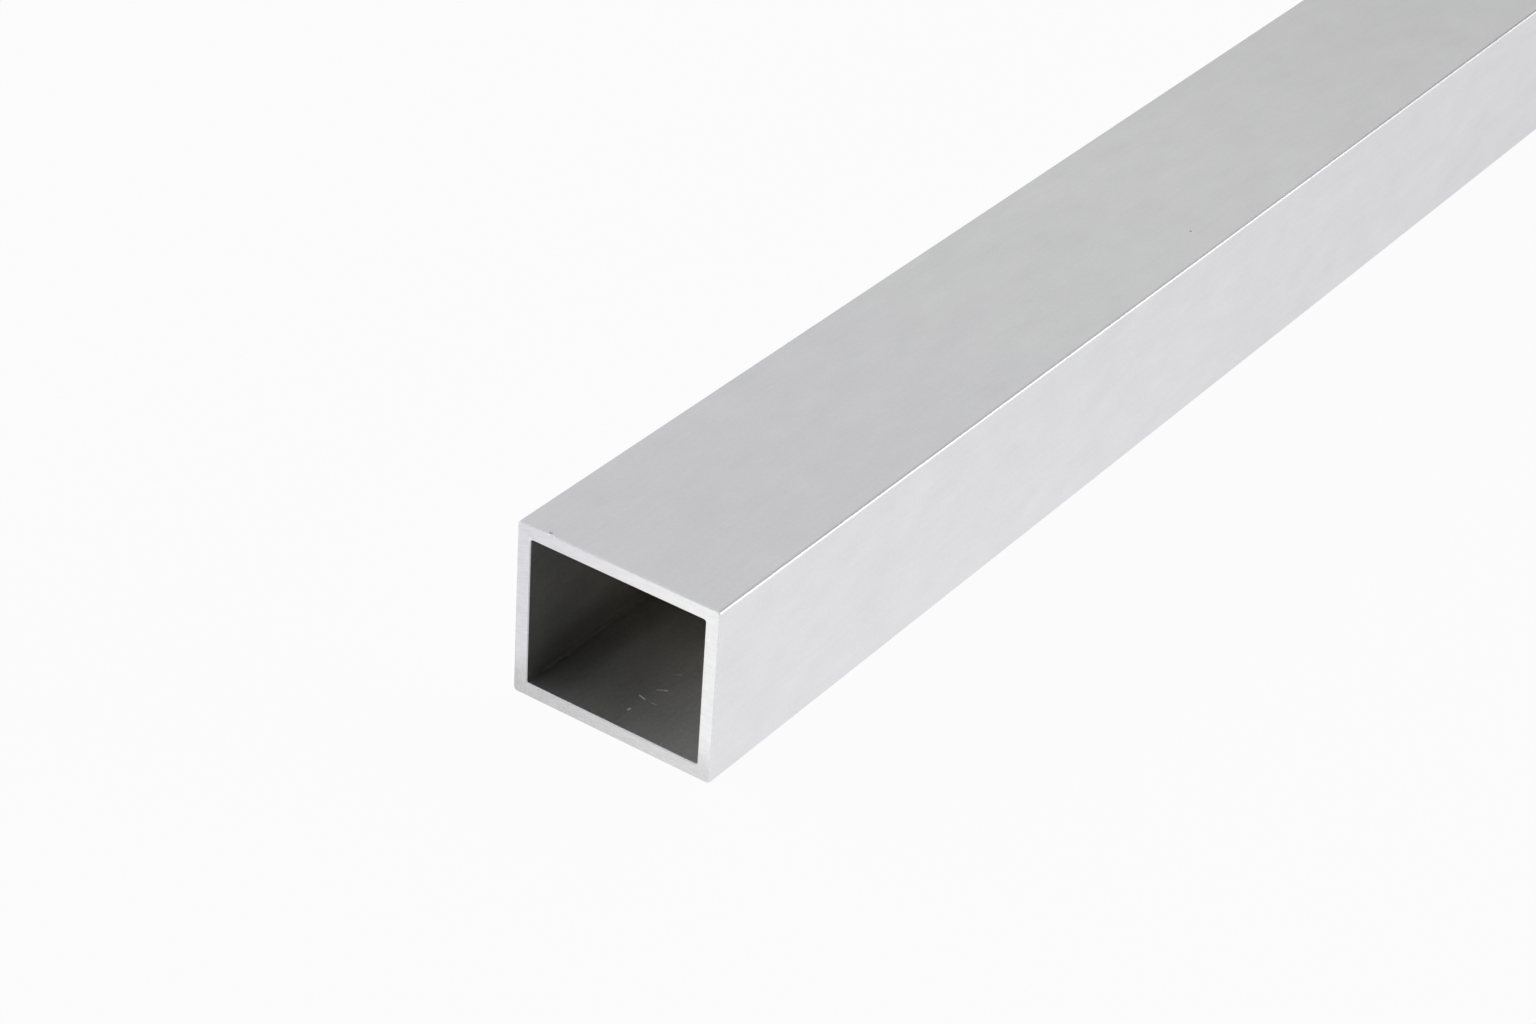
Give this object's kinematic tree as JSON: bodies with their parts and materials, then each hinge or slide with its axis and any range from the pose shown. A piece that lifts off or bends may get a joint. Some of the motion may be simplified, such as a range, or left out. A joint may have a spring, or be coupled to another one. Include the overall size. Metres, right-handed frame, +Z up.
{
  "type": "rectangular metal tube",
  "caption": "Straight hollow aluminium tube of near-square rectangular section, extruded in one piece, with small outside corner radii and both ends sawn square.",
  "frame": {"origin": "middle of the underside, halfway along the tube, on the surface it lies on", "axes": "+Y along the tube away from the end that the picture shows, +X across its 30 mm width, +Z up through its 25 mm height"},
  "size_m": [0.03, 1, 0.025],
  "materials": {
    "mill_aluminium": "bare mill finish, satin, with faint die lines along its length and fine saw marks on the cut ends"
  },
  "bodies": {
    "root": {"tube": "mill_aluminium"}
  },
  "joints": []
}
